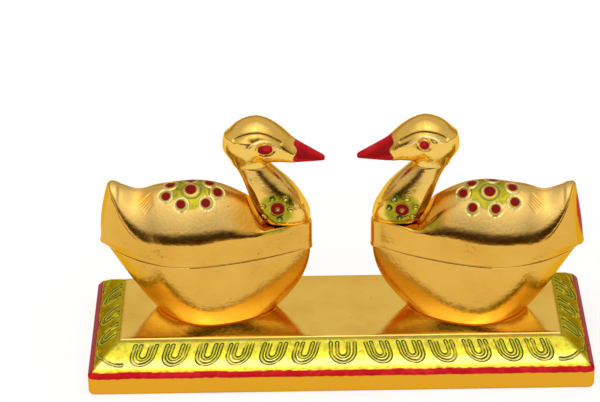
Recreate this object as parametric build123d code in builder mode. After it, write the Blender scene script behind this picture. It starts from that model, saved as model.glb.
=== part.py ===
from build123d import *
import os
from math import cos, pi, radians, sin

# Plinth
plinth_length = 178.0
plinth_depth = 63.5
fascia_height = 7.9
chamfer_inset = 1.6
chamfer_rise = 1.5
border_width = 9.4
border_rise = 5.9
top_step = 0.9
step_inset = 0.5
plinth_corner_radius = 2.4
plinth_foot_radius = 1.2

# Places of the two ducks: their pivots, and a slight turn of each on the plinth
pivot_spacing = 40.6
pair_shift = 0.9
left_turn = -1.5
right_turn = -3.5

# Bowl: lengths from the pivot axis, heights from the plinth top
bowl_height = 25.0
rim_front = 10.0
rim_back = 62.4
rim_width = 30.0
rim_point = 1.0
widest_back = 34.0
foot_front = -3.3
foot_back = 45.4
foot_width = 26.0
foot_point = 0.0
well_front = 8.5
well_floor_front = 12.3
well_wall = 4.5
well_point = 0.5
well_floor = 7.0

# Lid: heights from the rim of the bowl
lid_gap = 0.2
lid_side_height = 10.0
seat_height = 10.8
seat_lip = 0.9
seat_margin = 0.8
crown_height = 26.2
crown_back = 30.0
front_height = 16.0
dip_height = 24.4
dip_back = 49.0
tail_top_height = 26.5
tail_top_back = 61.4
tail_low_height = 5.0
tail_low_back = 65.0
tail_taper = 3.6
sweep_back = 46.0
carve_margin = 1.15

# Neck
neck_gap = 0.3
swing_gap = 0.8
neck_height = 22.7
neck_lean = 9.6
neck_foot_length = 14.0
neck_foot_width = 10.4
neck_body_low = 4.5
neck_body_high = 11.4
neck_body_length = 17.8
neck_body_width = 13.2
throat_length = 13.6
throat_width = 10.8

# Head with beak: lengths from the throat, heights from the joint with the neck
joint_gap = 0.2
skull_back = 10.7
skull_crown = 1.0
skull_height = 17.6
skull_width = 14.4
nape_height = 6.8
jaw_height = 1.2
beak_reach = 24.4
beak_tip_height = 3.0
beak_tip_width = 3.0

# Pins and screws
pivot_diameter = 5.0
pivot_into_bowl = 12.0
pivot_into_neck = 9.5
running_gap = 0.06
glue_gap = 0.05
end_gap = 0.4
head_pin_diameter = 4.0
head_pin_half = 6.5
screw_diameter = 3.5
screw_head_diameter = 7.0
screw_bite = 4.4
screw_recess = 0.6
screw_spacing = 18.0
screw_gap = 0.1

# Levels above the plinth top
plinth_top = fascia_height + chamfer_rise + border_rise + top_step
lid_level = bowl_height + lid_gap
edge_level = bowl_height + lid_side_height
seat_level = bowl_height + seat_height
crown_level = bowl_height + crown_height
front_level = bowl_height + front_height
dip_level = bowl_height + dip_height
tail_top_level = bowl_height + tail_top_height
tail_low_level = bowl_height + tail_low_height
neck_level = seat_level + neck_gap
throat_level = neck_level + neck_height
head_level = throat_level + joint_gap
tail_end = tail_low_back + tail_taper
seat_back = neck_foot_length / 2
seat_radius = rim_front + seat_margin
lip_level = seat_level + seat_lip

# Frames of the two ducks: origin under the pivot, X towards the breast
left_frame = Plane(
    origin=(pair_shift - pivot_spacing / 2, 0, plinth_top),
    x_dir=(cos(radians(left_turn)), sin(radians(left_turn)), 0),
    z_dir=(0, 0, 1),
)
right_frame = Plane(
    origin=(pair_shift + pivot_spacing / 2, 0, plinth_top),
    x_dir=(-cos(radians(right_turn)), -sin(radians(right_turn)), 0),
    z_dir=(0, 0, 1),
)
ducks = {"left": left_frame, "right": right_frame}
screw_middle = (foot_front - foot_back) / 2
screw_stations = [screw_middle - screw_spacing / 2, screw_middle + screw_spacing / 2]


def half_width(u, front, back, width, point):
    """Half the width of a leaf outline at u: an oval where point is 0, a leaf where it is 1."""
    bow = 0.5 + 0.4 * point
    if u > -widest_back:
        share = min((u + widest_back) / (front + widest_back), 1.0)
        return width / 2 * (1 - share ** (2 - 0.5 * point)) ** bow
    share = min((-widest_back - u) / (back - widest_back), 1.0)
    return width / 2 * (1 - share ** 2) ** bow


def leaf(front, back, width, point):
    """Points around a leaf outline, closer together at its two ends."""
    near = []
    for k in range(1, 12):
        along = cos(pi * k / 12)
        reach = front + widest_back if along > 0 else back - widest_back
        u = -widest_back + along * reach
        near.append((u, half_width(u, front, back, width, point)))
    far = [(u, -v) for u, v in reversed(near)]
    return [(front, 0)] + near + [(-back, 0)] + far


def ease(u, start, end):
    """A smooth step from 0 at start to 1 at end."""
    share = min(max((u - start) / (end - start), 0.0), 1.0)
    return share * share * (3 - 2 * share)


def edge_height(u):
    """Upper edge of the lid's side: level, up a little at the seat, swept up at the tail."""
    sweep = max(0.0, (-sweep_back - u) / (tail_low_back - sweep_back)) ** 1.6
    front = ease(u, -crown_back, -seat_back)
    return edge_level + (tail_top_level - edge_level) * sweep + (lip_level - edge_level) * front


def ridge_height(u):
    """Middle line of the lid: front of the dome, crown, dip and tail tip."""
    if u > -crown_back:
        share = (u + crown_back) / (crown_back - seat_back)
        return max(crown_level - (crown_level - front_level) * share ** 2, lip_level)
    if u > -dip_back:
        return crown_level + (dip_level - crown_level) * ease(-u, crown_back, dip_back)
    return dip_level + (tail_top_level - dip_level) * ease(-u, dip_back, tail_top_back)


def neck_offset(height):
    """How far the neck's middle lies behind the pivot at a height above its foot."""
    return neck_lean * (height / neck_height) ** 1.6


# Plinth with a plain fascia, a chamfer, a sloped border and a flat top one step up
border_length = plinth_length - 2 * chamfer_inset
border_depth = plinth_depth - 2 * chamfer_inset
top_length = border_length - 2 * border_width
top_depth = border_depth - 2 * border_width
border_level = fascia_height + chamfer_rise

with BuildPart() as base_plinth:
    with BuildSketch():
        RectangleRounded(plinth_length, plinth_depth, plinth_corner_radius)
    extrude(amount=border_level)
    chamfer(base_plinth.faces().sort_by(Axis.Z)[-1].edges(), chamfer_rise, chamfer_inset)
    fillet(base_plinth.faces().sort_by(Axis.Z)[0].edges(), plinth_foot_radius)
    with BuildSketch(Plane.XY.offset(border_level)):
        Rectangle(border_length, border_depth)
    with BuildSketch(Plane.XY.offset(border_level + border_rise)):
        Rectangle(top_length, top_depth)
    loft()
    with BuildSketch(Plane.XY.offset(plinth_top)):
        Rectangle(top_length - 2 * step_inset, top_depth - 2 * step_inset)
    extrude(amount=-top_step)
    for frame in ducks.values():
        for u in screw_stations:
            with Locations(Plane(frame.from_local_coords((u, 0, -plinth_top)), z_dir=(0, 0, -1))):
                CounterSinkHole(
                    radius=screw_diameter / 2 + screw_gap,
                    counter_sink_radius=screw_head_diameter / 2 + screw_recess + screw_gap,
                    counter_sink_angle=90,
                )

# Bowl: the lower half of the duck, with an oval powder well
well_back = rim_back - 2 * well_wall
well_floor_width = foot_width - 2 * well_wall
with BuildPart() as bowl:
    for share in (0.0, 0.12, 0.4, 0.7, 1.0):
        front = foot_front + (rim_front - foot_front) * (1 - (1 - share) ** 2)
        back = foot_back + (rim_back - foot_back) * share
        width = foot_width + (rim_width - foot_width) * (1 - (1 - share) ** 3)
        point = foot_point + (rim_point - foot_point) * share
        with BuildSketch(Plane.XY.offset(bowl_height * share)):
            with BuildLine():
                Spline(*leaf(front, back, width, point), periodic=True)
            make_face()
    loft()
    with BuildSketch(Plane.XY.offset(bowl_height)):
        with BuildLine():
            Spline(*leaf(-well_front, well_back, rim_width - 2 * well_wall, well_point), periodic=True)
        make_face()
    with BuildSketch(Plane.XY.offset(well_floor)):
        with BuildLine():
            Spline(*leaf(-well_floor_front, foot_back, well_floor_width, foot_point), periodic=True)
        make_face()
    loft(mode=Mode.SUBTRACT)
    with Locations((0, 0, bowl_height)):
        Hole(radius=pivot_diameter / 2 + glue_gap, depth=pivot_into_bowl + end_gap)
    for u in screw_stations:
        with Locations(Plane((u, 0, 0), z_dir=(0, 0, -1))):
            Hole(radius=screw_diameter / 2 + screw_gap, depth=screw_bite + end_gap)

# Carved top of the lid in cross sections: level in front, then dome, dip and tail
stations = [rim_front + seat_margin, 0, -seat_back, -(seat_back + crown_back) / 2, -crown_back]
stations += [-(crown_back + dip_back) / 2, -dip_back, -(dip_back + tail_top_back) / 2]
stations += [-tail_top_back, -tail_end]
with BuildPart() as carved_top:
    for u in stations:
        half = half_width(u, rim_front, tail_end, rim_width, rim_point)
        half = max(half, neck_foot_width / 2 if u > 0 else tail_taper / 2)
        ridge = ridge_height(u)
        edge = min(edge_height(u), ridge)
        shares = [carve_margin * k / 3 for k in range(-3, 4)]
        with BuildSketch(Plane(origin=(u, 0, 0), x_dir=(0, 1, 0), z_dir=(1, 0, 0))):
            with BuildLine():
                top = Spline(*[(half * s, ridge + (edge - ridge) * s * s) for s in shares])
                Polyline(top @ 1, ((top @ 1).X, 0), ((top @ 0).X, 0), top @ 0)
            make_face()
    loft()

# Lid: leaf-shaped side under the carved top, cut square at the tail, with the neck's seat
swing_radius = neck_body_length / 2 + neck_offset(neck_body_high) + swing_gap
with BuildPart() as lid:
    with BuildSketch(Plane.XY.offset(lid_level)):
        with BuildLine():
            Spline(*leaf(rim_front, rim_back, rim_width, rim_point), periodic=True)
        make_face()
    with BuildSketch(Plane.XY.offset(tail_low_level)) as tail_outline:
        with BuildLine():
            Spline(*leaf(rim_front, tail_end, rim_width, rim_point), periodic=True)
        make_face()
    loft()
    extrude(tail_outline.sketch, amount=max(crown_height, tail_top_height))
    add(carved_top.part, mode=Mode.INTERSECT)
    split(
        bisect_by=Plane(
            origin=(-tail_low_back, 0, tail_low_level),
            x_dir=(0, 1, 0),
            z_dir=(tail_low_level - tail_top_level, 0, tail_low_back - tail_top_back),
        ),
        keep=Keep.BOTTOM,
    )
    with BuildSketch(Plane.XZ):
        with BuildLine():
            Polyline(
                (0, seat_level),
                (seat_radius, seat_level),
                (swing_radius, neck_level + neck_body_high),
                (throat_length / 2 + neck_lean + swing_gap, throat_level),
                (0, throat_level),
                close=True,
            )
        make_face()
    revolve(axis=Axis.Z, mode=Mode.SUBTRACT)
    with Locations((0, 0, seat_level)):
        Hole(radius=pivot_diameter / 2 + running_gap)

# Neck: a leaning block, round at the foot and narrow at the throat
with BuildPart() as neck:
    for height, length, width in (
        (0.0, neck_foot_length, neck_foot_width),
        (neck_body_low, neck_body_length, neck_body_width),
        (neck_body_high, neck_body_length, neck_body_width),
        (neck_height, throat_length, throat_width),
    ):
        with BuildSketch(Plane.XY.offset(neck_level + height)):
            with Locations((-neck_offset(height), 0)):
                Ellipse(length / 2, width / 2)
    loft()
    with Locations(Plane((0, 0, neck_level), z_dir=(0, 0, -1))):
        Hole(radius=pivot_diameter / 2 + glue_gap, depth=pivot_into_neck + end_gap)
    with Locations((-neck_lean, 0, throat_level)):
        Hole(radius=head_pin_diameter / 2 + glue_gap, depth=head_pin_half + end_gap)

# Head: a short stem on the throat, then skull and beak in one run of oval sections
skull_u = skull_crown - neck_lean
skull_reach = skull_back + skull_crown
tip_reach = beak_reach - skull_crown
with BuildPart() as head:
    for angle in (6, 24, 46, 68, 90):
        swell = sin(radians(angle))
        top = nape_height + (skull_height - nape_height) * swell
        low = nape_height + (jaw_height - nape_height) * swell
        place = (skull_u - skull_reach * cos(radians(angle)), 0, head_level + (top + low) / 2)
        with BuildSketch(Plane(origin=place, x_dir=(0, 1, 0), z_dir=(1, 0, 0))):
            Ellipse(skull_width / 2 * swell, (top - low) / 2)
    for share in (0.14, 0.32, 0.52, 0.74, 0.92, 1.0):
        taper = share ** 1.25
        top = skull_height + (beak_tip_height - skull_height) * taper
        width = skull_width + (beak_tip_width - skull_width) * taper
        place = (skull_u + tip_reach * share, 0, head_level + (top + jaw_height) / 2)
        with BuildSketch(Plane(origin=place, x_dir=(0, 1, 0), z_dir=(1, 0, 0))):
            Ellipse(width / 2, (top - jaw_height) / 2)
    loft()
    with BuildSketch(Plane.XY.offset(head_level)):
        with Locations((-neck_lean, 0)):
            Ellipse(throat_length / 2, throat_width / 2)
    extrude(amount=nape_height)
    with Locations(Plane((-neck_lean, 0, head_level), z_dir=(0, 0, -1))):
        Hole(radius=head_pin_diameter / 2 + glue_gap, depth=head_pin_half + end_gap)

# Pivot pin: glued in bowl and neck, free in the lid
pivot_foot = bowl_height - pivot_into_bowl
with BuildPart() as pivot_dowel:
    with BuildSketch(Plane.XY.offset(pivot_foot)):
        Circle(pivot_diameter / 2)
    extrude(amount=neck_level + pivot_into_neck - pivot_foot)
    chamfer(pivot_dowel.edges().filter_by(GeomType.CIRCLE), 0.4)

# Pin between neck and head
with BuildPart() as head_dowel:
    with BuildSketch(Plane.XY.offset(throat_level - head_pin_half)):
        with Locations((-neck_lean, 0)):
            Circle(head_pin_diameter / 2)
    extrude(amount=2 * head_pin_half + joint_gap)
    chamfer(head_dowel.edges().filter_by(GeomType.CIRCLE), 0.4)

# Two countersunk wood screws from under the plinth into the bowl
screw_foot = screw_recess - plinth_top
head_drop = (screw_head_diameter - screw_diameter) / 2
with BuildPart() as bowl_screws:
    for u in screw_stations:
        with BuildSketch(Plane(origin=(u, 0, 0), x_dir=(1, 0, 0), z_dir=(0, -1, 0))):
            with BuildLine():
                Polyline(
                    (0, screw_foot),
                    (screw_head_diameter / 2, screw_foot),
                    (screw_diameter / 2, screw_foot + head_drop),
                    (screw_diameter / 2, screw_bite - screw_diameter / 2),
                    (0.2, screw_bite),
                    (0, screw_bite),
                    close=True,
                )
            make_face()
        revolve(axis=Axis((u, 0, 0), (0, 0, 1)))

# One file for each piece
os.makedirs("parts", exist_ok=True)
base_plinth.part.label = "base_plinth"
export_step(base_plinth.part, "parts/base_plinth.step")
pieces = {
    "bowl": bowl,
    "lid": lid,
    "neck": neck,
    "head": head,
    "pivot_dowel": pivot_dowel,
    "head_dowel": head_dowel,
    "bowl_screws": bowl_screws,
}
for side, frame in ducks.items():
    for name, piece in pieces.items():
        placed = piece.part.moved(frame.location)
        placed.label = f"{side}_{name}"
        export_step(placed, f"parts/{side}_{name}.step")
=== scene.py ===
# %% [markdown]
# # A kumkum box: two gilded ducks on a plinth
# The real object is carved wood under thin gold foil. Two hollow ducks hold the powder, and each
# duck's lid swings sideways round a peg under its neck. This lesson dresses the imported part: it
# rebuilds each carved piece as a dense mesh from the same sizes, cuts the ornament into the mesh,
# and paints it. We start with the frame. The looks may not outgrow it.

# %% Load the frame
import math

import bmesh
import bpy
import numpy as np
from mathutils import Matrix


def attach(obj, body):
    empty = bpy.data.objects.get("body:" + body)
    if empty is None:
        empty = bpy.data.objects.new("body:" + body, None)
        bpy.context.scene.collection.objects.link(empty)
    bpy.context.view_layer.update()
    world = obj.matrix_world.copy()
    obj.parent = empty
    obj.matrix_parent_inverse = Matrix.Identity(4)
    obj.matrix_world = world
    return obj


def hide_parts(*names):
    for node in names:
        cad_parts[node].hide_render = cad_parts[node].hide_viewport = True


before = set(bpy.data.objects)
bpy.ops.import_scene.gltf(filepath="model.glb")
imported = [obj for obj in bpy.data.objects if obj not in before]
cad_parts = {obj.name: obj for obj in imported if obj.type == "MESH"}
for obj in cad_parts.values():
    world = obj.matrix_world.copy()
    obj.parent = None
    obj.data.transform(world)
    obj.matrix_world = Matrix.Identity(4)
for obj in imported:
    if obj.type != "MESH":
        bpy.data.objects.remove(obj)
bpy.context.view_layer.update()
MM = 0.001

# %% [markdown]
# ## Sizes
# The carver worked from one outline, a leaf, for bowl and lid. We keep the part's own sizes, in
# millimetres, and scale to metres only when a mesh is made. Each duck has its own small frame:
# u runs forward to the breast, v to its left side and z up, all from the peg on the plinth's top.

# %% Sizes of plinth and ducks
plinth_top = 16.2
peg_x = {"left": -19.4, "right": 21.2}
heading = {"left": -1.5, "right": 176.5}
near_side = {"left": -1.0, "right": 1.0}
widest_back = 34.0
rim_front, rim_back, rim_width, tail_end = 10.0, 62.4, 30.0, 68.0
tail_point_low, tail_point_top = 69.4, 63.2
bowl_height, lid_level, tail_low_level = 25.0, 25.2, 30.0
edge_level, seat_level, lip_level = 35.0, 35.8, 36.7
crown_level, front_level, dip_level, tail_top_level = 51.2, 41.0, 49.4, 51.5
seat_back, crown_back, dip_back, sweep_back = 7.0, 30.0, 49.0, 46.0
tail_top_back, tail_low_back = 61.4, 65.0
neck_level, neck_height, neck_lean, head_level = 36.1, 22.7, 9.6, 59.0


def smooth(x, start, end):
    """A soft step from 0 at start to 1 at end."""
    share = np.clip((x - start) / (end - start), 0.0, 1.0)
    return share * share * (3 - 2 * share)


def half_width(u, front, back, width, point, widest=widest_back):
    """Half the width of the leaf outline at u: an oval where point is 0, a leaf where it is 1."""
    ahead = np.clip((u + widest) / (front + widest), 0, 1)
    behind = np.clip((-widest - u) / (back - widest), 0, 1)
    fullness = np.where(u > -widest, 1 - ahead ** (2 - 0.5 * point), 1 - behind**2)
    return width / 2 * np.clip(fullness, 0, 1) ** (0.5 + 0.4 * point)


def to_row(points, side):
    """Points in a duck's own frame, in millimetres, to the row frame, in metres."""
    turn = math.radians(heading[side])
    u, v, z = points[..., 0], points[..., 1], points[..., 2]
    x = peg_x[side] + u * math.cos(turn) - v * math.sin(turn)
    y = u * math.sin(turn) + v * math.cos(turn)
    return np.stack([x, y, z + plinth_top], -1) * MM


print("plinth top at", plinth_top, "mm, pegs", peg_x["right"] - peg_x["left"], "mm apart")

# %% [markdown]
# ## One way to make every mesh
# A carved block can be sculpted, subdivided or lofted. Here each piece is a stack of closed rings
# of points, because numpy can then cut ornament into all the points at once. Next to each point we
# keep paint: how much red, lacquer green, dark ink, rubbed gold or bare wood it wears. Some of these
# also carry painted light: painted highlights, painted shade and painted reflections. A shader
# reads these as attributes, so paint and carving always line up.

# %% Rings to mesh
PAINTS = ("red", "wine_and_shade", "green", "ink_and_shade", "pale", "wood", "cream_and_highlight", "amber_and_reflection", "line")


def ring_normals(rings):
    """Outward normals of a stack of closed rings, from its neighbours along and around."""
    around = np.roll(rings, -1, 1) - np.roll(rings, 1, 1)
    along = np.gradient(rings, axis=0)
    normal = np.cross(around, along)
    length = np.linalg.norm(normal, axis=-1, keepdims=True)
    return normal / np.maximum(length, 1e-9)


def ripple(points, reach, seed):
    """Soft hand-carved unevenness, from a few waves in different directions."""
    draw = np.random.default_rng(seed)
    total = np.zeros(points.shape[:-1])
    for _ in range(7):
        wave = draw.normal(size=3)
        wave *= 2 * math.pi / (reach * draw.uniform(0.7, 1.5) * np.linalg.norm(wave))
        total += np.sin(points @ wave + draw.uniform(0, 2 * math.pi))
    return total / 7


def skin(name, rings, material, paint, lid_first=True, lid_last=True, sharp=38):
    """A closed mesh from rings of points in metres, with its paint, smooth but for sharp edges."""
    levels, count = rings.shape[:2]
    index = np.arange(levels * count).reshape(levels, count)
    beside = np.roll(index, -1, 1)
    quads = np.stack([index[:-1], beside[:-1], beside[1:], index[1:]], -1).reshape(-1, 4)
    points = rings.reshape(-1, 3)
    faces = quads.tolist()
    if lid_first:
        faces.append(index[0][::-1].tolist())
    if lid_last:
        faces.append(index[-1].tolist())
    mesh = bpy.data.meshes.new(name)
    mesh.from_pydata(points.tolist(), [], faces)
    for key in PAINTS:
        if key in paint:
            layer = mesh.attributes.new(key, "FLOAT", "POINT")
            values = np.clip(paint[key], 0, 1).astype(np.float32).reshape(-1)
            layer.data.foreach_set("value", values)
    tidy = bmesh_tidy(mesh)
    mesh.shade_smooth()
    mesh.set_sharp_from_angle(angle=math.radians(sharp))
    mesh.materials.append(material)
    piece = bpy.data.objects.new(name, mesh)
    bpy.context.scene.collection.objects.link(piece)
    print(name, "faces:", len(mesh.polygons), "merged:", tidy)
    return piece


def bmesh_tidy(mesh):
    """Merges points that meet, drops flat faces and turns all faces outward."""
    work = bmesh.new()
    work.from_mesh(mesh)
    before = len(work.verts)
    bmesh.ops.remove_doubles(work, verts=work.verts, dist=2e-6)
    bmesh.ops.dissolve_degenerate(work, edges=work.edges, dist=1e-6)
    bmesh.ops.recalc_face_normals(work, faces=work.faces)
    after = len(work.verts)
    work.to_mesh(mesh)
    work.free()
    return before - after


def even_ring(u, v, count, soften):
    """A closed outline as evenly spaced points, its sharp corners softened by that many mm."""
    closed = np.stack([np.append(u, u[0]), np.append(v, v[0])], -1)
    step = np.linalg.norm(np.diff(closed, axis=0), axis=1)
    length = np.concatenate([[0], np.cumsum(step)])
    want = np.linspace(0, length[-1], count, endpoint=False)
    even = np.stack([np.interp(want, length, closed[:, k]) for k in (0, 1)], -1)
    turns = np.fft.rfftfreq(count, length[-1] / count)
    fade = np.exp(-2 * (math.pi * turns * soften) ** 2)[:, None]
    return np.fft.irfft(np.fft.rfft(even, axis=0) * fade, count, axis=0)


print("paints:", ", ".join(PAINTS))

# %% [markdown]
# ## Gold foil
# The foil is a mirror with fine crinkles, pinholes and hair cracks where the wood shows. A flat
# metal colour would look like plastic, so noise moves the tone, the roughness and a slight bump.
# Paint lies on top: opaque red and ink, and a clear yellow-green lacquer that stays metallic.
# Painted light lies on top too: cream painted highlights, wine and ink as painted shade, and amber
# as painted reflection. The bowls and lids wear a deeper gold than the heads, a painted reflection of
# a warm floor, and the plinth a yellower one. Low on the bowls the gold turns a brighter yellow, a
# painted reflection of the gilded top.

# %% Node helpers
def add(tree, kind, setup=None, **sockets):
    """Adds a node. Sockets take a value or another node's output; _0 and _1 count sockets."""
    made = tree.nodes.new(kind)
    for key, value in (setup or {}).items():
        setattr(made, key, value)
    for key, value in sockets.items():
        socket = made.inputs[int(key[1:])] if key[0] == "_" else made.inputs[key.replace("_", " ")]
        if isinstance(value, bpy.types.NodeSocket):
            tree.links.new(value, socket)
        else:
            socket.default_value = value
    return made


def maths(tree, operation, a, b=0.0, clamp=False):
    """One sum on two numbers or sockets."""
    return add(tree, "ShaderNodeMath", {"operation": operation, "use_clamp": clamp}, _0=a, _1=b).outputs[0]


def blend(tree, share, a, b):
    """Colour a where share is 0 and colour b where it is 1."""
    made = add(tree, "ShaderNodeMix", {"data_type": "RGBA"}, _0=share, _6=a, _7=b)
    return made.outputs[2]


def between(tree, value, low, high):
    """A soft step of a socket from 0 at low to 1 at high."""
    made = add(tree, "ShaderNodeMapRange", {"interpolation_type": "SMOOTHSTEP"}, Value=value)
    made.inputs["From Min"].default_value = low
    made.inputs["From Max"].default_value = high
    return made.outputs["Result"]


def paint_of(tree, key):
    """The paint attribute of that name."""
    return add(tree, "ShaderNodeAttribute", {"attribute_name": key}).outputs["Fac"]


def new_finish(name):
    """A material, its node tree and the point on the object's own axes that its patterns follow."""
    material = bpy.data.materials.new(name)
    material.use_nodes = True
    tree = material.node_tree
    return material, tree, add(tree, "ShaderNodeTexCoord").outputs["Object"]


def show(tree, share, first, second):
    """Shows a mix of two shaders on the surface, in place of the usual one."""
    tree.nodes.remove(tree.nodes["Principled BSDF"])
    both = add(tree, "ShaderNodeMixShader", _0=share, _1=first.outputs[0], _2=second.outputs[0])
    tree.links.new(both.outputs[0], tree.nodes["Material Output"].inputs["Surface"])


print("node helpers ready")

# %% The foil and its paints
# Paint colours. The cream one also serves as painted highlight, the wine and ink ones also as painted
# shade, and the amber one also as painted reflection; the belly levels bound a painted reflection low on
# the bowls.
RED = (0.46, 0.006, 0.012, 1)
RED_LIGHT = (0.60, 0.02, 0.025, 1)
WINE_AND_SHADE = (0.19, 0.006, 0.007, 1)
INK_AND_SHADE = (0.022, 0.075, 0.008, 1)
BARE = (0.10, 0.035, 0.012, 1)
CREAM_HIGHLIGHT = (0.97, 0.86, 0.46, 1)
AMBER_AND_REFLECTION = (0.82, 0.37, 0.03, 1)
EDGE_TINT = (0.95, 0.66, 0.26, 1)
WOOD = (0.42, 0.24, 0.11, 1)
WOOD_LIGHT = (0.60, 0.40, 0.21, 1)
BELLY_REFLECTION_LEVELS = (0.027, 0.018)


def noise(tree, place, scale, detail=3.0, **more):
    """A cloud of noise, from 0 to 1, with that many lumps to a metre."""
    return add(tree, "ShaderNodeTexNoise", Vector=place, Scale=scale, Detail=detail, **more).outputs["Fac"]


def foil_wear(tree, place, clouds, wander):
    """How far the foil is gone: rare pinholes, and hair cracks where the clouds are dense."""
    holes = add(tree, "ShaderNodeTexVoronoi", Vector=place, Scale=260.0)
    chance = add(tree, "ShaderNodeSeparateColor", Color=holes.outputs["Color"]).outputs[0]
    hole = between(tree, holes.outputs["Distance"], 0.085, 0.05)
    speck = maths(tree, "MULTIPLY", between(tree, chance, 0.9, 0.92), hole)
    hair = maths(tree, "ABSOLUTE", maths(tree, "SUBTRACT", wander, 0.5))
    crack = maths(tree, "MULTIPLY", between(tree, hair, 0.0045, 0.0015), between(tree, clouds, 0.58, 0.66))
    return maths(tree, "MULTIPLY", maths(tree, "MAXIMUM", speck, crack), 0.75)


def gilding(name, foil, deep, pale, lacquer, crinkled, satin, low=None):
    """Gold foil with its wear and the paints over it, some of them painted light; low is a brighter colour
    near the plinth, painted reflection of the gilded top.
    """
    material, tree, place = new_finish(name)
    shader = tree.nodes["Principled BSDF"]
    clouds = noise(tree, place, 70.0, 5.0, Roughness=0.6)
    grain = noise(tree, place, 900.0, 4.0, Roughness=0.65)
    folds = noise(tree, place, 420.0, 2.0, Distortion=0.8)
    wander = noise(tree, place, 160.0, 3.0, Distortion=1.2)
    worn = foil_wear(tree, place, clouds, wander)
    red, wine_and_shade, green, ink_and_shade, rubbed, bare, cream_and_highlight, amber_and_reflection, line = (paint_of(tree, key) for key in PAINTS)
    shaky = maths(tree, "ADD", line, maths(tree, "MULTIPLY", maths(tree, "SUBTRACT", folds, 0.5), 0.16))
    outline = maths(tree, "ABSOLUTE", maths(tree, "SUBTRACT", shaky, 0.3))
    outline = maths(tree, "MULTIPLY", between(tree, outline, 0.15, 0.06), between(tree, wander, 0.34, 0.5))
    ink_and_shade = maths(tree, "MAXIMUM", ink_and_shade, outline)
    tone = blend(tree, between(tree, clouds, 0.35, 0.7), foil, deep)
    # Painted reflection: low on the bowls the gilded top brightens the gold.
    if low:
        level = add(tree, "ShaderNodeSeparateXYZ", Vector=place).outputs["Z"]
        tone = blend(tree, between(tree, level, *BELLY_REFLECTION_LEVELS), tone, low)
    tone = blend(tree, rubbed, tone, pale)
    # Amber is amber tone and painted reflection, cream is cream paint and painted highlight, and ink and
    # wine are dark paint and painted shade.
    tone = blend(tree, amber_and_reflection, tone, AMBER_AND_REFLECTION)
    thin = tuple(0.62 * part for part in lacquer[:3]) + (1,)
    tone = blend(tree, green, tone, blend(tree, between(tree, folds, 0.42, 0.75), lacquer, thin))
    tone = blend(tree, cream_and_highlight, tone, CREAM_HIGHLIGHT)
    tone = blend(tree, worn, tone, BARE)
    tone = blend(tree, ink_and_shade, tone, INK_AND_SHADE)
    tone = blend(tree, red, tone, blend(tree, between(tree, wander, 0.42, 0.75), RED, RED_LIGHT))
    tone = blend(tree, wine_and_shade, tone, WINE_AND_SHADE)
    fibre = add(tree, "ShaderNodeMapping", Vector=place, Scale=(40.0, 420.0, 420.0)).outputs[0]
    tone = blend(tree, bare, tone, blend(tree, noise(tree, fibre, 1.0, 4.0), WOOD, WOOD_LIGHT))
    tree.links.new(tone, shader.inputs["Base Color"])
    covered = maths(tree, "MULTIPLY", maths(tree, "MAXIMUM", ink_and_shade, maths(tree, "MAXIMUM", red, wine_and_shade)), 0.97)
    dull = maths(tree, "MAXIMUM", covered, maths(tree, "MAXIMUM", worn, bare))
    tree.links.new(maths(tree, "SUBTRACT", 1.0, dull, True), shader.inputs["Metallic"])
    rough = maths(tree, "ADD", maths(tree, "MULTIPLY", grain, 0.16), 0.05)
    rough = maths(tree, "ADD", rough, maths(tree, "MULTIPLY", dull, 0.14))
    rough = maths(tree, "ADD", rough, maths(tree, "MULTIPLY", bare, 0.4), True)
    brushed = maths(tree, "MULTIPLY", maths(tree, "MAXIMUM", rubbed, amber_and_reflection), satin)
    rough = maths(tree, "ADD", rough, brushed, True)
    tree.links.new(rough, shader.inputs["Roughness"])
    shader.inputs["Specular IOR Level"].default_value = 0.02
    shader.inputs["Specular Tint"].default_value = EDGE_TINT
    shader.inputs["Coat Weight"].default_value = 0.03
    shader.inputs["Coat Roughness"].default_value = 0.06
    height = maths(tree, "ADD", grain, maths(tree, "MULTIPLY", wander, 0.6))
    height = maths(tree, "ADD", height, maths(tree, "MULTIPLY", folds, 0.7))
    bump = add(tree, "ShaderNodeBump", Strength=crinkled, Distance=0.0003, Height=height)
    tree.links.new(bump.outputs["Normal"], shader.inputs["Normal"])
    return material


duck_gold = gilding(
    "duck_gold", foil=(0.88, 0.59, 0.12, 1), deep=(0.83, 0.53, 0.095, 1),
    pale=(0.64, 0.46, 0.175, 1), lacquer=(0.40, 0.35, 0.018, 1), crinkled=0.2, satin=0.16,
)
# The bowls' deeper tone is painted reflection of a warm floor; the brighter yellow low down is painted
# reflection of the gilded top.
bowl_gold = gilding(
    "bowl_gold", foil=(0.75, 0.425, 0.068, 1), deep=(0.69, 0.375, 0.054, 1),
    pale=(0.69, 0.465, 0.14, 1), lacquer=(0.40, 0.35, 0.018, 1), crinkled=0.2, satin=0.16,
    low=(0.97, 0.70, 0.19, 1),
)
plinth_gold = gilding(
    "plinth_gold", foil=(0.92, 0.61, 0.135, 1), deep=(0.86, 0.53, 0.10, 1),
    pale=(0.76, 0.37, 0.02, 1), lacquer=(0.66, 0.59, 0.035, 1), crinkled=0.09, satin=0.05,
)
print("materials:", duck_gold.name, bowl_gold.name, plinth_gold.name)

# %% [markdown]
# ## Plinth
# A long block with a plain front, a red chamfer, a sloped border and a flat mirror top. A row of
# U-shaped gouge cuts runs round the border, painted dark green. The block is a stack of rounded
# rectangles, dense only on the border, where the cuts are real grooves.

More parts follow.
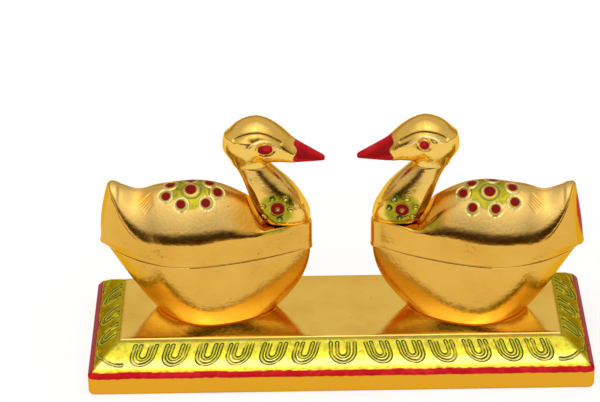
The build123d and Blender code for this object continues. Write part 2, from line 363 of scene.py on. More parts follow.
# %% Profile of the plinth
plinth_length, plinth_depth = 178.0, 63.5
border_low, border_top = 9.4, 15.3
border_inset, border_run = 1.6, 9.4
slope_length = math.hypot(border_run, border_top - border_low)
profile = [(1.2, 0.0, 1.2), (0.35, 0.35, 2.0), (0.0, 1.2, 2.4), (0.0, 4.4, 2.4), (0.0, 6.2, 2.4)]
profile += [(0.0, rise, 2.4) for rise in (6.5, 6.7, 6.9, 7.2)]
profile += [(0.08 + 1.44 * k / 7, 7.7 + 1.6 * k / 7, 2.4 - 1.2 * k / 7) for k in range(8)]
border_steps, first_border = 42, len(profile)
face_up = border_run / slope_length
face_out = (border_top - border_low) / slope_length
for k in range(border_steps + 1):
    share = k / border_steps
    swell = 1.6 * share * (1 - share)
    inset = border_inset + border_run * share - swell * face_out
    rise = border_low + (border_top - border_low) * share + swell * face_up
    profile.append((inset, rise, 1.2 - 0.6 * share))
profile += [(11.05, 15.32, 0.6), (11.15, 15.5, 0.6), (11.3, 15.85, 0.6), (11.45, 16.05, 0.6)]
profile += [(11.7, 16.16, 0.6), (12.1, 16.2, 0.6), (13.0, 16.2, 0.6)]


def plinth_ring(inset, corner, front_count, back_count, end_count, turn_count):
    """One rounded rectangle, anticlockwise from the front left, closer points in front."""
    half_x, half_y = plinth_length / 2 - inset - corner, plinth_depth / 2 - inset - corner
    ring, legs = [], ((0, -1, front_count), (1, 0, end_count), (0, 1, back_count), (-1, 0, end_count))
    for quarter, (out_x, out_y, count) in enumerate(legs):
        steps = np.linspace(-1, 1, count)
        x = out_x * (half_x + corner) + (-out_y) * half_x * steps
        y = out_y * (half_y + corner) + out_x * half_y * steps
        ring.append(np.stack([x, y], -1))
        angles = np.linspace(0, math.pi / 2, turn_count + 2)[1:-1] + (quarter - 1) * math.pi / 2
        cx = half_x * (1 if quarter in (0, 1) else -1)
        cy = half_y * (-1 if quarter in (0, 3) else 1)
        ring.append(np.stack([cx + corner * np.cos(angles), cy + corner * np.sin(angles)], -1))
    return np.concatenate(ring)


plinth_rings = []
side_counts = {"front_count": 620, "back_count": 400, "end_count": 180, "turn_count": 6}
for inset, rise, corner in profile:
    flat = plinth_ring(inset, corner, **side_counts)
    plinth_rings.append(np.column_stack([flat, np.full(len(flat), rise)]))
plinth_rings = np.array(plinth_rings)
print("plinth rings:", plinth_rings.shape)

# %% [markdown]
# The cuts lean outward from the middle one, as a right-handed and a left-handed row. Each is two
# nested strokes. We measure every border point's distance to the strokes in border coordinates,
# a along the side and b up the slope, and sink the point where it is close.

# %% Gouge cuts of the border
def u_stroke(a, b, radius, low, top):
    """Distance to a U: a half circle below and two arms up to top."""
    middle = low + radius
    bowl_part = np.abs(np.hypot(a, b - middle) - radius)
    arm_part = np.hypot(np.abs(a) - radius, np.maximum(b - top, 0))
    return np.where(b < middle, bowl_part, arm_part)


def u_motif(a, b, place, lean, wide=1.0):
    """Distance to the two nested strokes of one cut."""
    slid = a - place - lean * (b - 4.5)
    outer = u_stroke(slid, b, 3.75 * wide, 1.9, 9.3)
    inner = u_stroke(slid, b, 1.75 * wide, 3.9, 9.3)
    return np.minimum(outer, inner)


x, y, rise = plinth_rings[..., 0], plinth_rings[..., 1], plinth_rings[..., 2]
level = np.arange(len(profile))[:, None] + np.zeros_like(x)
on_border = (level >= first_border) & (level <= first_border + border_steps)
b = np.clip((level - first_border) / border_steps, 0, 1) * slope_length
reach_x, reach_y = plinth_length / 2 - np.abs(x), plinth_depth / 2 - np.abs(y)
along_x = reach_y < reach_x
far_off = 9.0
cut = np.full(x.shape, far_off)
front_row = [-69.9, -58.6, -47.0, -36.2, -24.4, -13.0, 0.7, 13.9, 25.3, 36.6, 48.5, 59.7, 70.5]
for number, place in enumerate(front_row):
    lean = 0.3 * np.sign(len(front_row) // 2 - number)
    distance = u_motif(x, b, place, lean, 1.0 if lean else 1.12)
    cut = np.where(along_x, np.minimum(cut, distance), cut)
for place in (-13.0, 0.0, 13.0):
    distance = u_motif(y, b, place, 0.35)
    cut = np.where(~along_x, np.minimum(cut, distance), cut)
corner_x, corner_y = reach_x - border_inset, reach_y - border_inset
arc_middle, arc_radius, arc_reach, arc_top = 9.5, 7.6, 11.0, 8.5
for on_side, from_corner in ((along_x, corner_x), (~along_x, corner_y)):
    arc = np.abs(np.hypot(from_corner - arc_middle, b - arc_middle) - arc_radius)
    arc = np.where(on_side & (from_corner < arc_reach) & (b < arc_top), arc, far_off)
    cut = np.minimum(cut, arc)
cut = np.where(on_border, cut, far_off)
print("cut points:", int((cut < 0.6).sum()))

# %% Sink the cuts and paint the plinth
groove_depth, groove_half = 0.42, 0.62
sink = groove_depth * np.clip(1 - (cut / groove_half) ** 2, 0, 1) ** 1.3
plinth_rings[..., 2] -= sink * face_up
plinth_rings[..., 0] += np.where(along_x, 0, -np.sign(x)) * sink * face_out
plinth_rings[..., 1] += np.where(along_x, -np.sign(y), 0) * sink * face_out
in_plan = plinth_rings * [1, 1, 0]
wobble = 0.22 * ripple(in_plan, 11.0, 3) + 0.2 * ripple(in_plan, 3.0, 4)
patchy = ripple(plinth_rings, 3.2, 5)
red_top = np.where(along_x, 8.75, 9.75)
red_band = smooth(rise + wobble, 6.65, 6.85) * (1 - smooth(rise + wobble - red_top, 0, 0.2))
green_border = smooth(rise - red_top, 0, 0.2) * (1 - smooth(rise, 15.25, 15.5))
# Painted shade: the red chamfer is darker on the plinth's ends.
end_chamfer_shade = ~along_x * red_band * smooth(rise, 7.5, 7.9)
# A darker line along the foot of the step below the top.
rim_dark_line = smooth(0.35 - np.abs(rise - 15.35), 0, 0.25) * 0.55
groove_ink = 0.22 * smooth(0.6 - cut, 0, 0.3) * np.clip(0.6 + 0.8 * patchy, 0, 1)
up_slope = b / slope_length
# Painted highlight: cream glare low on the front border.
glare = smooth(up_slope, 0.02, 0.1) * (1 - smooth(up_slope + 0.1 * patchy, 0.22, 0.42)) * along_x
scuff = smooth(patchy, 0.25, 0.55) * smooth(up_slope, 0.55, 0.9) * along_x
plinth_paint = {
    "red": red_band,
    "wine_and_shade": 0.7 * end_chamfer_shade,
    "green": green_border * (0.9 + 0.12 * patchy),
    "cream_and_highlight": np.maximum(0.36 * glare, 0.3 * scuff) * on_border,
    "line": np.clip(cut / 2, 0, 1),
    "ink_and_shade": np.maximum(groove_ink * on_border, rim_dark_line),
    "pale": 1 - smooth(rise, 6.9, 7.3),
    "wood": 1 - smooth(rise, 0.02, 0.3),
}
plinth_rings[..., :2] *= 1 - 0.00012 * (1 + ripple(plinth_rings, 30.0, 8))[..., None]
plinth = skin("gilded_plinth", plinth_rings * MM, plinth_gold, plinth_paint, sharp=50)
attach(plinth, "stand")
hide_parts("base_plinth")

# %% [markdown]
# ## Bowls
# The lower half of each duck swells from an oval foot to a leaf-shaped rim and holds a smooth oval
# well. Rings of the outline go up the outside, across the rim and down into the well, so the piece
# is whole when its lid swings away. The outside gets a slight unevenness that bends reflections.

# %% Bowls with their wells
RING = 480
bowl_front, foot_widest, foot_point = 9.6, 27.0, 0.5
foot_front, foot_back, foot_width = -3.3, 45.4, 26.0
well_front, well_back, well_width, well_depth = -8.5, 53.4, 21.0, 17.7


def leaf_ring(front, back, width, point, level_z, soften=0.6, widest=widest_back):
    """A leaf outline at a height, as evenly spaced points."""
    angle = np.linspace(0, 2 * math.pi, 1440, endpoint=False)
    reach = np.where(np.cos(angle) > 0, front + widest, back - widest)
    u = -widest + np.cos(angle) * reach
    v = half_width(u, front, back, width, point, widest) * np.sign(np.sin(angle))
    even = even_ring(u, v, RING, soften)
    return np.column_stack([even, np.full(RING, level_z)])


def bowl_rings():
    """Outside, rim and well of a bowl, from the foot's middle to the well's middle."""
    rings = []
    for share in np.concatenate([[0.0, 0.004, 0.012], np.linspace(0.03, 0.994, 56)]):
        front = foot_front + (bowl_front - foot_front) * (1 - (1 - share) ** 2)
        back = foot_back + (rim_back - foot_back) * share**0.85
        width = foot_width + (rim_width - foot_width) * (1 - (1 - share) ** 3)
        tuck = 0.5 * max(0.0, 1 - share / 0.012)
        widest = foot_widest + (widest_back - foot_widest) * share
        outline = (front - tuck, back - tuck, width - 2 * tuck, foot_point + (1 - foot_point) * share)
        rings.append(leaf_ring(*outline, bowl_height * share, widest=widest))
    rings.append(leaf_ring(bowl_front - 0.12, rim_back - 0.12, rim_width - 0.24, 1.0, bowl_height))
    outside = len(rings)
    rings.append(leaf_ring(well_front + 0.6, well_back + 0.6, well_width + 1.2, 0.5, bowl_height, 0.3))
    for share in np.linspace(0, 1, 24):
        curve = 1 - math.sqrt(max(0.0, 1 - share**2)) if share < 1 else 1.0
        front = well_front - 3.8 * curve
        back = well_back - 8.0 * curve
        width = well_width - 4.0 * curve
        depth = bowl_height - 0.3 - well_depth * math.sin(share * math.pi / 2)
        rings.append(leaf_ring(front, back, width, 0.5 - 0.5 * share, depth, 0.3))
    return np.array(rings), outside


for side in ("left", "right"):
    rings, outside = bowl_rings()
    normal = ring_normals(rings)
    uneven = 0.14 * ripple(rings, 16.0, 21 if side == "left" else 22)
    fade = np.arange(len(rings))[:, None]
    fade = smooth(fade, 2, 12) * (1 - smooth(fade, outside - 10, outside - 3))
    rings += normal * np.clip(uneven * fade, -0.3, 0.0)[..., None]
    bare = np.zeros(rings.shape[:2])
    bare[outside:] = 1.0
    bare[0] = 1.0
    pale = 0.15 * smooth(rings[..., 2], 20, 25)
    bowl = skin(f"{side}_bowl_gilded", to_row(rings, side), bowl_gold, {"wood": bare, "pale": pale})
    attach(bowl, "stand")
    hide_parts(f"{side}_bowl")

# %% [markdown]
# ## Lids
# The lid is the duck's back: an upright leaf-shaped side, a rounded crease, a dome, a dip and a
# square-cut tail. Its top is a height for every u and v, so the neck's seat, the wing hollow, the
# chisel marks and the flower of ring-cut bosses are all terms of one height function.

# %% Height of the lid's top
def edge_height(u):
    """Upper edge of the lid's side: level, a little up at the seat, swept up at the tail."""
    sweep = np.clip((-sweep_back - u) / (tail_low_back - sweep_back), 0, 2) ** 1.6
    front = smooth(u, -crown_back, -seat_back)
    return edge_level + (tail_top_level - edge_level) * sweep + (lip_level - edge_level) * front


def ridge_height(u):
    """Middle line of the lid: front of the dome, crown, dip and tail tip."""
    share = (u + crown_back) / (crown_back - seat_back)
    fore = np.maximum(crown_level - (crown_level - front_level) * share**2, lip_level)
    waist = crown_level + (dip_level - crown_level) * smooth(-u, crown_back, dip_back)
    tail = dip_level + (tail_top_level - dip_level) * smooth(-u, dip_back, tail_top_back)
    return np.where(u > -crown_back, fore, np.where(u > -dip_back, waist, tail))


def soft_min(a, b, reach):
    """The lower of two heights, with the corner between them rounded over reach."""
    near = np.clip(reach - np.abs(a - b), 0, None) / reach
    return np.minimum(a, b) - near * near * reach / 4


wing = {"left": (8.5, 4.0, 3.0), "right": (5.6, 3.5, 1.5)}


def lid_height(u, v, side):
    """The plain carved top: dome and tail, wing hollows, and the round seat of the neck."""
    half = np.maximum(half_width(u, rim_front, tail_end, rim_width, 1.0), 1.8)
    ridge = ridge_height(u)
    edge = np.minimum(edge_height(u), ridge)
    top = ridge + (edge - ridge) * np.clip((v / half) ** 2, 0, 1.4)
    place, inner, outer = wing[side]
    back = np.clip((-8 - u) / 17, 0, 1)
    off = np.abs(v) - place
    fall = np.exp(-((off / np.where(off > 0, outer, inner)) ** 2))
    top = top - 2.4 * (1 - back) ** 1.2 * fall * smooth(-u, 3, 10)
    hollow = np.exp(-(((u + 51.5) / 4.2) ** 2)) * np.exp(-(((np.abs(v) - 4.2) / 4.0) ** 2))
    top = top - 1.3 * hollow
    top = top + 0.9 * smooth(u, 2.5, 8.0) - 2.6 * np.clip((u - 7.6) / 2.6, 0, 1) ** 2
    if side == "right":
        top = top - 1.4 * smooth(-u, 0, 5) * (1 - smooth(-u, 10, 17)) * smooth(v, 3.5, 7.5)
    turn = np.arctan2(np.abs(v), -u)
    beside = smooth(turn, 0.3, 0.95)
    steep = 1.2 - 0.95 * beside + 2.2 * smooth(turn, 1.7, 2.5)
    seat = seat_level + steep * np.clip(np.hypot(u, v) - 8.5, 0, None) ** 1.5
    top = top - 0.5 * smooth(u, -58.4, -57.0) * (1 - smooth(u, -50.0, -43.0))
    return soft_min(top, seat, 2.0 + 3.2 * beside * smooth(-u, 4, 10))


print("crown at", round(float(lid_height(np.array(-30.0), np.array(0.0), "left")), 2), "mm")

# %% [markdown]
# The flower is a boss with seven more round it. Each is a ring cut with a gouge: a groove round a
# low disc. Distance is measured in three dimensions from the boss's middle, so the rings stay round
# on the curved dome. The dots of red sit a little off the middle, as a brush leaves them.

# %% Flower and chisel marks
flower = {
    "left": [(-31.9, 3.4), (-40.8, 4.8), (-35.2, 7.8), (-26.5, 7.1), (-23.0, 3.6), (-25.6, -0.2),
             (-32.4, -1.9), (-39.2, 0.4)],
    "right": [(-31.4, 4.2), (-40.1, 6.8), (-33.6, 9.0), (-25.8, 8.3), (-22.5, 3.9), (-25.0, 0.4),
              (-32.4, -1.8), (-39.4, 1.9)],
}


def carve_flower(points, side):
    """Depth of the ring cuts at each point of a lid, its red, green and ink, and a painted highlight in
    each groove.
    """
    depth = np.zeros(points.shape[:2])
    red, ink_and_shade, patch = (np.zeros_like(depth) for _ in range(3))
    discs, ring = np.zeros_like(depth), np.zeros_like(depth)
    draw = np.random.default_rng(11 if side == "left" else 12)
    lacquer_edge = 1.1 * ripple(points, 6.0, 31 if side == "left" else 32)
    for number, (u, w) in enumerate(flower[side]):
        v = w * near_side[side]
        middle = np.array([u, v, float(lid_height(np.array(u), np.array(v), side))])
        away = np.linalg.norm(points - middle, axis=-1)
        radius, half = (3.4, 0.45) if number == 0 else (2.5, 0.36)
        groove = np.clip(1 - ((away - radius) / half) ** 2, 0, 1)
        depth = np.maximum(depth, 0.3 * groove**1.2)
        ring = np.maximum(ring, groove * (0.25 if number == 0 else 0.75))
        ink_and_shade = np.maximum(ink_and_shade, groove**2 * (0.75 if number == 0 else 0.15))
        discs = np.maximum(discs, smooth(radius - away, 0.1, 0.5))
        dot = middle + [draw.uniform(-0.3, 0.3), draw.uniform(-0.25, 0.25), 0]
        size = 2.1 if number == 0 else 1.72
        red = np.maximum(red, smooth(size - np.linalg.norm(points - dot, axis=-1), -0.15, 0.2))
        spread = 7.3 if number == 0 else 2.7
        patch = np.maximum(patch, smooth(spread - away + lacquer_edge, -0.4, 0.9))
    return depth, red, ink_and_shade, patch * (1 - 0.35 * discs), ring


def chisel_marks(u, w):
    """A few short slanting gouge marks in the hollow before the tail."""
    mark_u, mark_w = -47.4, 5.6
    depth = np.zeros_like(u)
    for k in range(5):
        along = (u - mark_u) * 0.86 + (w - mark_w) * -0.5
        across = (u - mark_u) * 0.5 + (w - mark_w) * 0.86 - 0.85 * (k - 2)
        stroke = np.clip(1 - (across / 0.42) ** 2, 0, 1)
        stroke = stroke * np.clip(1 - (along / (2.9 - 0.25 * k)) ** 2, 0, 1)
        depth = np.maximum(depth, 0.34 * stroke)
    return depth


print("bosses:", {side: len(places) for side, places in flower.items()})

# %% [markdown]
# The side of the lid flares out to the tail and ends in a face that two slanting cuts leave slightly
# pointed, not square, as a chisel does from both sides. We make the outline at many heights, close
# it with that face, space its points evenly, and read the side's points from that stack. Above the
# crease, the same rings shrink onto a line down the duck's back.

# %% Outlines of the lids
LID_RING = 640
stack_z = np.linspace(lid_level, 53.0, 60)
lid_front, tip_radius = 10.1, 2.6
face_bulge = {"left": 0.9, "right": 0.3}
face_near = {"left": 1.3, "right": 2.4}
face_far = {"left": 1.3, "right": 0.5}


def lid_outline(z, side):
    """The lid's outline at a height, closed at the tail by the pointed end face."""
    heights = [lid_level, tail_low_level, edge_level, tail_top_level]
    back = np.interp(z, heights, [rim_back, tail_point_low, tail_point_low - 0.4, tail_point_top])
    share = (z - tail_low_level) / (tail_top_level - tail_low_level)
    end = -tail_low_back + share * (tail_low_back - tail_top_back)
    end -= face_bulge[side] * 4 * np.clip(share, 0, 1) * np.clip(1 - share, 0, 1)
    end = max(end, 0.05 - back)
    recess = (face_near[side], face_far[side])
    recess = recess if near_side[side] > 0 else recess[::-1]
    flanks = []
    for sign, short in zip((1, -1), recess):
        stop = min(end + short * smooth(z, lid_level, tail_low_level + 2), -widest_back)
        u = (lid_front + stop) / 2 + (lid_front - stop) / 2 * np.cos(np.linspace(0, math.pi, 900))
        half = half_width(u, lid_front, back, rim_width, 1.0)
        from_tip = np.clip(lid_front - u, 0, None)
        blunt = np.sqrt(from_tip * (2 * tip_radius - np.minimum(from_tip, tip_radius)))
        half = np.maximum(half, np.minimum(blunt, tip_radius) * smooth(u, lid_front - 5, lid_front - 2))
        flanks.append(np.stack([u, sign * half], -1))
    left, right = flanks
    middle = np.array([end, 0.0])
    to_middle, from_middle = np.linspace(left[-1], middle, 30), np.linspace(middle, right[-1], 30)
    loop = np.concatenate([left, to_middle[1:], from_middle[1:-1], right[::-1][:-1]])
    return even_ring(loop[:, 0], loop[:, 1], LID_RING, 0.42)


outline_stack = {side: np.array([lid_outline(z, side) for z in stack_z]) for side in heading}


def outline_at(z, side):
    """The outline's points at a height for each point, or at one height."""
    z = np.broadcast_to(z, (LID_RING,))
    step = np.clip((z - stack_z[0]) / (stack_z[1] - stack_z[0]), 0, len(stack_z) - 1.001)
    low = step.astype(int)
    share = (step - low)[:, None]
    number = np.arange(LID_RING)
    stack = outline_stack[side]
    return stack[low, number] * (1 - share) + stack[low + 1, number] * share


print("tail ends at", {side: round(float(outline_stack[side][..., 0].min()), 2) for side in heading})


# %% Rings of the lids
def lid_rings(side):
    """Rings of a lid from its flat underside, up the side, over the crease to the back line."""
    crease = np.full(LID_RING, edge_level)
    for _ in range(14):
        rim = outline_at(crease, side)
        crease = lid_height(rim[:, 0], rim[:, 1], side)
    tangent = np.roll(rim, -1, 0) - np.roll(rim, 1, 0)
    outward = np.stack([tangent[:, 1], -tangent[:, 0]], -1)
    outward /= np.linalg.norm(outward, axis=1, keepdims=True)
    room = np.abs(rim[:, 1]) + 4 * smooth(-rim[:, 0], 50, 60)
    radius = np.minimum(0.7 + 1.0 * smooth(-rim[:, 0], 6, 16), 0.15 + 0.5 * room)
    radius = radius - 0.9 * smooth(-rim[:, 0], 52, 60)
    spine = np.stack([np.clip(rim[:, 0], -53.0, 4.0), np.zeros(LID_RING)], -1)
    rings = []
    floor, under = outline_at(lid_level, side), lid_level - 0.1
    for share in (0.0, 0.5):
        flat = spine + (floor - spine) * share
        rings.append(np.column_stack([flat, np.full(LID_RING, under)]))
    rings.append(np.column_stack([floor - 0.12 * outward, np.full(LID_RING, under)]))
    wall_top = crease - radius
    for share in np.linspace(0, 1, 30):
        z = under + 0.12 + (wall_top - under - 0.12) * share
        rings.append(np.column_stack([outline_at(z, side), z]))
    side_rings = len(rings)
    for angle in np.radians(np.linspace(6, 90, 15)):
        flat = rim - outward * (radius * (1 - math.cos(angle)))[:, None]
        z = lid_height(flat[:, 0], flat[:, 1], side) - radius * (1 - math.sin(angle))
        rings.append(np.column_stack([flat, z]))
    inner = rim - outward * radius[:, None]
    for share in np.linspace(0, 1, 66)[1:]:
        flat = inner + (spine - inner) * share
        rings.append(np.column_stack([flat, lid_height(flat[:, 0], flat[:, 1], side)]))
    return np.array(rings), side_rings


# %% Carve and paint the lids
for side in ("left", "right"):
    rings, side_rings = lid_rings(side)
    normal = ring_normals(rings)
    u, w, z = rings[..., 0], rings[..., 1] * near_side[side], rings[..., 2]
    number = np.arange(len(rings))[:, None] + np.zeros_like(u)
    on_top = smooth(number, side_rings + 6, side_rings + 14)
    depth, red, ink_and_shade, patch, ring = carve_flower(rings, side)
    depth = (depth + chisel_marks(u, w)) * on_top
    uneven = 0.10 * (1 + ripple(rings, 9.0, 41 if side == "left" else 42))
    uneven *= smooth(number, 4, 10) * (1 - smooth(number, len(rings) - 4, len(rings) - 1))
    seat_clear = smooth(np.hypot(u, w), 11, 14)
    rings[..., 2] -= depth + uneven * on_top * seat_clear
    rings -= normal * (uneven * (1 - on_top))[..., None]
    tail_face = smooth(normal[..., 0], -0.70, -0.84) * smooth(-u, 57, 60) * (1 - on_top)
    leaf_half = 0.2 + 3.6 * np.clip(1 - ((z - 39) / 9.5) ** 2, 0, 1)
    leaf = smooth(1 - np.abs(w + 0.3) / leaf_half, 0, 0.15)
    patch *= on_top
    if side == "right":
        smear = smooth(2.2 - np.abs(w - 8.8), 0, 1.2) * smooth(-u, 7, 9) * (1 - smooth(-u, 13, 17))
        smear *= on_top
    else:
        smear = smooth(w, 2, 4) * smooth(z, 33.4, 34.6) * smooth(u, -9, -6) * (1 - smooth(u, 0, 3))
        smear *= 1 - on_top
    # Painted reflection: amber in the hollow by the neck and in the hollow before the tail, where the
    # concave gold mirrors gold.
    by_neck = smooth(-u, 5, 9) * (1 - smooth(np.hypot(u, 0.7 * w), 12, 23))
    by_neck *= (1 - smooth(w, 8.5, 11)) * on_top
    by_tail = np.exp(-(((u + 48.5) / 3.6) ** 2) - ((w - 4.0) / 3.2) ** 2) * on_top
    amber_and_reflection = np.maximum(0.85 * by_neck, (0.75 if side == "left" else 0.4) * by_tail) * (1 - patch)
    paint = {
        "amber_and_reflection": amber_and_reflection,
        # painted highlight in the ring grooves
        "cream_and_highlight": ring * on_top * (1 - red),
        "red": tail_face * leaf * (0.95 if side == "right" else 0.0),
        "wine_and_shade": red * on_top,
        "green": np.maximum(patch, 0.8 * smear),
        "ink_and_shade": ink_and_shade * on_top,
        "pale": 0.9 * smooth(number, side_rings + 4, side_rings + 18) * smooth(-u, 9, 22),
    }
    open_ends = {"lid_first": False, "lid_last": False}
    lid = skin(f"{side}_lid_gilded", to_row(rings, side), bowl_gold, paint, **open_ends)
    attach(lid, f"{side}_lid_body")
    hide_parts(f"{side}_lid")

# %% [markdown]
# ## Necks
# Each neck is a leaning slab with flat sides and a thin bevel down its back edge. A painted disc
# and six drilled pits sit on its side, some pits dark green, on a dab of green lacquer. The disc's
# centre pit gets painted shade, and each pit a painted glint low down. Rings of a squarish oval
# follow the lean, and the bevel cuts their back corners.

# %% Necks
NECK_RING = 260
nape_shift = 1.3
neck_stops = np.array([0.0, 4.5, 11.4, 22.7])
neck_long = np.polyfit(neck_stops, [7.0, 8.9, 8.9, 6.4], 3)
neck_wide = np.polyfit(neck_stops, [5.2, 6.6, 6.6, 5.4], 3)
neck_disc = {"left": (-1.8, 44.0), "right": (-1.2, 42.9)}
neck_pits = {
    "left": [(-3.6, 47.9, 1), (0.9, 47.8, 0), (2.6, 43.6, 0), (-1.2, 39.8, 1), (-6.3, 40.4, 0),
             (-7.0, 44.8, 0)],
    "right": [(1.4, 47.2, 1), (-2.9, 47.6, 0), (-5.9, 44.0, 0), (-4.8, 40.0, 0), (-0.3, 39.5, 1),
              (3.3, 43.5, 1)],
}


def neck_rings():
    """Rings of a plain neck, foot to throat."""
    angle = np.linspace(0, 2 * math.pi, NECK_RING, endpoint=False)
    bevel = math.radians(52)
    rings = []
    foot, shaft = [0.0, 0.12, 0.35, 0.7], np.linspace(1.1, neck_height - 0.25, 120)
    for height in np.concatenate([foot, shaft, [neck_height]]):
        tuck = 0.55 * (1 - min(height / 0.7, 1)) ** 2
        tuck += 0.1 if height == neck_height else 0.0
        a, b = np.polyval(neck_long, height) - tuck, np.polyval(neck_wide, height) - tuck
        corner = 0.76 + 0.24 * smooth(height, 13, 22)
        u = a * np.sign(np.cos(angle)) * np.abs(np.cos(angle)) ** corner
        u = np.where(u > 0, u * (1 + 2.1 * max(0.0, 1 - height / 8) / a), u)
        v = b * np.sign(np.sin(angle)) * np.abs(np.sin(angle)) ** corner
        over = -u * math.cos(bevel) + np.abs(v) * math.sin(bevel)
        most = 1.05 * math.hypot(a * math.cos(bevel), b * math.sin(bevel))
        extra = np.clip(over - most, 0, None)
        u, v = u + extra * math.cos(bevel), v - np.sign(v) * extra * math.sin(bevel)
        lean = neck_lean * (height / neck_height) ** 1.6 + nape_shift * (height / neck_height) ** 3
        rings.append(np.stack([u - lean, v, np.full(NECK_RING, neck_level + height)], -1))
    return np.array(rings)


for side in ("left", "right"):
    rings = neck_rings()
    normal = ring_normals(rings)
    u, v, z = rings[..., 0], rings[..., 1], rings[..., 2]
    flank = smooth(np.abs(v), 2.4, 3.6)
    disc_u, disc_z = neck_disc[side]
    away = np.hypot(u - disc_u, z - disc_z)
    depth = 0.3 * np.clip(1 - ((away - 2.75) / 0.45) ** 2, 0, 1)
    depth = depth + 0.45 * np.clip(1 - (away / 0.75) ** 2, 0, 1)
    red = smooth(2.6 - away, -0.1, 0.25)
    # Painted shade: the disc's centre pit is darkened.
    ink_and_shade = 0.7 * np.clip(1 - (away / 0.6) ** 2, 0, 1)
    for pit_u, pit_z, dark in neck_pits[side]:
        gap = np.hypot(u - pit_u, z - pit_z)
        bowl_cut = np.clip(1 - (gap / 1.15) ** 2, 0, 1)
        depth = np.maximum(depth, 0.75 * np.sqrt(bowl_cut) * smooth(bowl_cut, 0, 0.2))
        ink_and_shade = np.maximum(ink_and_shade, dark * smooth(1.15 - gap, 0, 0.3))
    dab = np.hypot((u - disc_u) / 6.6, (z - disc_z + 0.3) / 6.9) + 0.16 * ripple(rings, 5.0, 51)
    green = smooth(1 - dab, -0.05, 0.2) * (1 - red)
    streak = smooth(1 - np.hypot((u - disc_u + 1.0) / 1.6, (z - disc_z - 6.5) / 4.0), 0, 0.5)
    uneven = 0.07 * (1 + ripple(rings, 8.0, 52 if side == "left" else 53))
    rings -= normal * (depth * flank + uneven * smooth(z, neck_level + 1, neck_level + 4))[..., None]
    # Painted highlights: a glint low in the disc's centre pit and in each drilled pit; the red thins in
    # the centre pit for its painted shade and under the glints.
    glint = smooth(0.36 - np.hypot(u - disc_u, z - disc_z + 0.6), -0.1, 0.15)
    for pit_u, pit_z, dark in neck_pits[side]:
        spot = smooth(0.4 - np.hypot(u - pit_u, z - pit_z + 0.5), -0.15, 0.2)
        glint = np.maximum(glint, (0.55 + 0.3 * dark) * spot)
    red = red * (1 - 0.75 * np.clip(1 - (away / 0.85) ** 2, 0, 1)) * (1 - glint)
    paint = {
        "cream_and_highlight": glint * flank,
        "wine_and_shade": red * flank,
        "ink_and_shade": ink_and_shade * (1 - glint) * flank,
        "green": np.maximum(green, 0.6 * streak) * flank,
        "pale": 0.35 * smooth(z, 46, 56),
        "amber_and_reflection": 0.12 * smooth(z, 40, 48) * smooth(np.abs(v), 2, 5),
    }
    neck = skin(f"{side}_neck_gilded", to_row(rings, side), duck_gold, paint)
    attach(neck, "stand")
    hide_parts(f"{side}_neck")

# %% [markdown]
# ## Heads
# Skull, beak and a short stem flow into each other, with a crease under the jaw. Rings alone can't
# do that, so the head is first a field: a distance to the skull and beak, and one to the stem,
# melted together. Planes fan out round the jaw's corner, and in each we search along rays for the
# place where the field is zero. Brow, eyelid, eye and mouth line are cut by adding to the field.

# %% The head as a field
skull_height, jaw_level = 17.6, 1.2
eye_place = {"left": (3.9, 8.4), "right": (0.9, 10.0)}
eye_size = {"left": (2.5, 1.8), "right": (1.65, 1.6)}
beak_line = {"left": 14.0, "right": 12.2}
brow_line = [(-6.6, 11.4), (-3.4, 13.2), (0.6, 14.1), (4.6, 13.1), (9.2, 10.2)]


def curve_through(points, count=60):
    """A smooth curve through a few points."""
    points = np.array(points, float)
    knots = np.linspace(0, 1, len(points))
    want = np.linspace(0, 1, count)
    fit = [np.polyval(np.polyfit(knots, points[:, k], len(points) - 1), want) for k in (0, 1)]
    return np.stack(fit, -1)


def distance_to(x, z, curve):
    """Distance of points to a curve, in side view."""
    best = np.full(x.shape, 99.0)
    for a, b in zip(curve[:-1], curve[1:]):
        run = b - a
        share = np.clip(((x - a[0]) * run[0] + (z - a[1]) * run[1]) / (run @ run), 0, 1)
        best = np.minimum(best, np.hypot(x - a[0] - share * run[0], z - a[1] - share * run[1]))
    return best


def head_top(x):
    """Height of the crown, the rounded brow and the straight beak."""
    brow_part = skull_height - 8.0 * (np.clip(x - 1.0, 0, None) / 12.1) ** 1.75
    beak_part = skull_height - 8.0 - 0.63 * (x - 13.1)
    return -soft_min(-brow_part, -beak_part, 1.2)


def head_field(x, y, z, side):
    """Below zero inside the head; x from the throat, z from the joint."""
    behind = (1.0 - x) / 11.7
    rise, aside = z - 6.8, 7.8 * y / 7.2
    up, down = skull_height - 6.8, 5.6
    lift = (up - down) * rise
    scale = (np.sqrt(lift**2 + 4 * up * down * (rise**2 + aside**2)) - lift) / (2 * up * down)
    back = (np.hypot(scale, behind) - 1) * 7.3
    taper = np.clip((x - 1.0) / 23.4, 0, 1) ** 1.38
    tip = np.sqrt(np.clip(1 - (np.clip(x - 23.7, 0, 0.699) / 0.7) ** 2, 0, 1))
    top = head_top(x)
    wide = (7.2 - 5.7 * taper) * tip
    middle, tall = (top + jaw_level) / 2, (top - jaw_level) / 2 * tip
    beak = smooth(x, 9.0, 14.0)
    square = np.where(z > middle, 2.0 - 0.5 * beak, 2.0 + 0.5 * smooth(x, 1.0, 6.0) + 0.5 * beak)
    oval = (np.abs(y / wide) ** square + np.abs((z - middle) / tall) ** square) ** (1 / square)
    fore = (oval - 1) * np.minimum(wide, tall)
    skull = back + (fore - back) * smooth(x, 0.0, 2.0)
    stem = (np.hypot((x + nape_shift) / 6.4, y / 5.4) - 1) * 5.4
    stem = np.maximum(stem, z - 9.0)
    reach = 5.0 - 3.9 * smooth(x, -3.5, 2.0)
    near = np.clip(reach - np.abs(skull - stem), 0, None) / reach
    return np.minimum(skull, stem) - near * near * reach / 4 + head_cuts(x, y, z, side)


